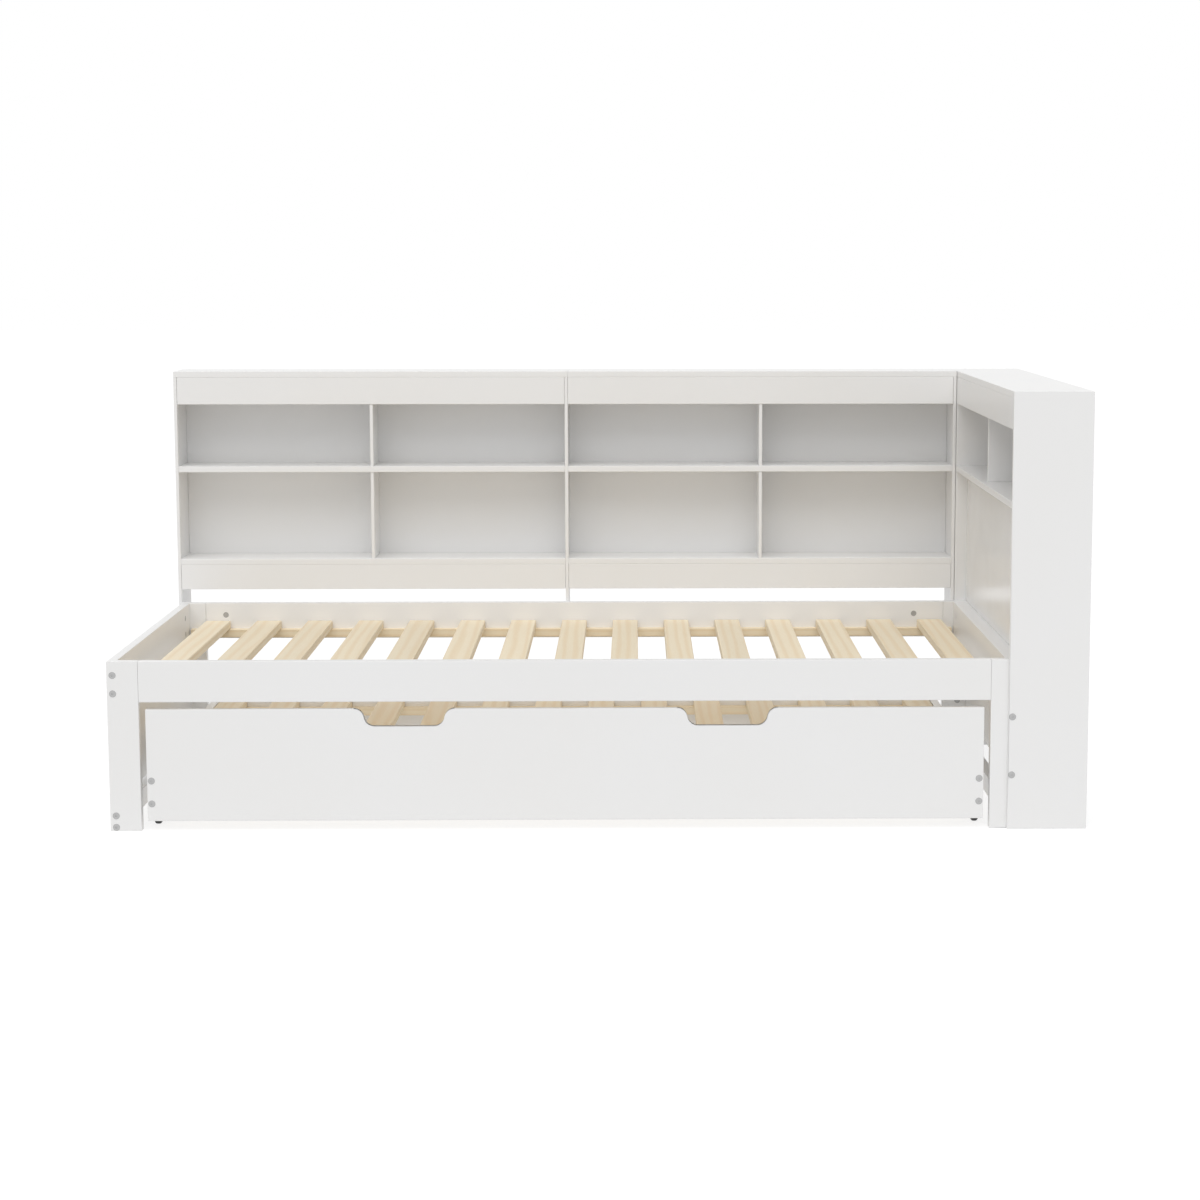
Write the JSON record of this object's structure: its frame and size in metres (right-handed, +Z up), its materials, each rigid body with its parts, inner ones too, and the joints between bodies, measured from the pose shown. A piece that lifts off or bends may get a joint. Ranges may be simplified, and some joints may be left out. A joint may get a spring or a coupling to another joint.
{
  "type": "pull-out daybed",
  "caption": "Single daybed with a slatted base, a trundle that rolls out from under it, a long shelf unit along the back and a shelf headboard at the right end.",
  "frame": {"origin": "on the floor, under the middle of the whole object's box", "axes": "+X to the right along the bed's length, +Y from the open front to the shelf unit, +Z up"},
  "size_m": [2.1554, 1.216, 0.961],
  "materials": {
    "white_paint": "satin lacquer",
    "pine": "planed, unfinished",
    "bolt_steel": "satin grey",
    "caster_steel": "zinc plated",
    "wheel_rubber": "matt"
  },
  "bodies": {
    "daybed": {"barrel_nuts": "bolt_steel", "bed_slats": "pine", "end_panel_left": "white_paint", "end_rail_right": "white_paint", "frame_bolts": "bolt_steel", "headboard_back": "white_paint", "headboard_bolts": "bolt_steel", "headboard_divider": "white_paint", "headboard_fascia": "white_paint", "headboard_inner_wall": "white_paint", "headboard_panel": "white_paint", "headboard_shelf": "white_paint", "headboard_side_back": "white_paint", "headboard_side_front": "white_paint", "headboard_top": "white_paint", "ledger_back": "pine", "ledger_front": "pine", "leg_back_left": "white_paint", "leg_back_right": "white_paint", "leg_front_left": "white_paint", "leg_front_right": "white_paint", "rail_back": "white_paint", "rail_dowels": "pine", "rail_front": "white_paint", "stretcher_left": "white_paint", "stretcher_right": "white_paint", "unit_apron_left": "white_paint", "unit_apron_right": "white_paint", "unit_back_left": "white_paint", "unit_back_right": "white_paint", "unit_bottom_left": "white_paint", "unit_bottom_right": "white_paint", "unit_divider_lower_left": "white_paint", "unit_divider_lower_right": "white_paint", "unit_divider_upper_left": "white_paint", "unit_divider_upper_right": "white_paint", "unit_fascia_left": "white_paint", "unit_fascia_right": "white_paint", "unit_shelf_left": "white_paint", "unit_shelf_right": "white_paint", "unit_top_left": "white_paint", "unit_top_right": "white_paint", "unit_upright_centre": "white_paint", "unit_upright_left": "white_paint", "unit_upright_right": "white_paint"},
    "trundle": {"caster_axles": "caster_steel", "caster_forks": "caster_steel", "caster_screws": "bolt_steel", "trundle_back": "white_paint", "trundle_front": "white_paint", "trundle_ledger_back": "pine", "trundle_ledger_front": "pine", "trundle_screws": "bolt_steel", "trundle_side_left": "white_paint", "trundle_side_right": "white_paint", "trundle_slats": "pine"},
    "wheel_back_left": {"wheel_back_left": "wheel_rubber"},
    "wheel_back_right": {"wheel_back_right": "wheel_rubber"},
    "wheel_front_left": {"wheel_front_left": "wheel_rubber"},
    "wheel_front_right": {"wheel_front_right": "wheel_rubber"}
  },
  "joints": [
    {"name": "trundle_slide", "type": "slide", "parent": "daybed", "child": "trundle", "axis": [0, -1, 0], "range_m": [0, 1.02]},
    {"name": "wheel_back_left_roll", "type": "hinge", "parent": "trundle", "child": "wheel_back_left", "pos_m": [-0.97575, 0.326, 0.015], "axis": [1, 0, 0], "continuous": true},
    {"name": "wheel_back_right_roll", "type": "hinge", "parent": "trundle", "child": "wheel_back_right", "pos_m": [0.84125, 0.326, 0.015], "axis": [1, 0, 0], "continuous": true},
    {"name": "wheel_front_left_roll", "type": "hinge", "parent": "trundle", "child": "wheel_front_left", "pos_m": [-0.97575, -0.515, 0.015], "axis": [1, 0, 0], "continuous": true},
    {"name": "wheel_front_right_roll", "type": "hinge", "parent": "trundle", "child": "wheel_front_right", "pos_m": [0.84125, -0.515, 0.015], "axis": [1, 0, 0], "continuous": true}
  ],
  "couplings": [
    {"joint": "wheel_back_left_roll", "follows": "trundle_slide", "rad_per_m": 66.667},
    {"joint": "wheel_back_right_roll", "follows": "trundle_slide", "rad_per_m": 66.667},
    {"joint": "wheel_front_left_roll", "follows": "trundle_slide", "rad_per_m": 66.667},
    {"joint": "wheel_front_right_roll", "follows": "trundle_slide", "rad_per_m": 66.667}
  ]
}
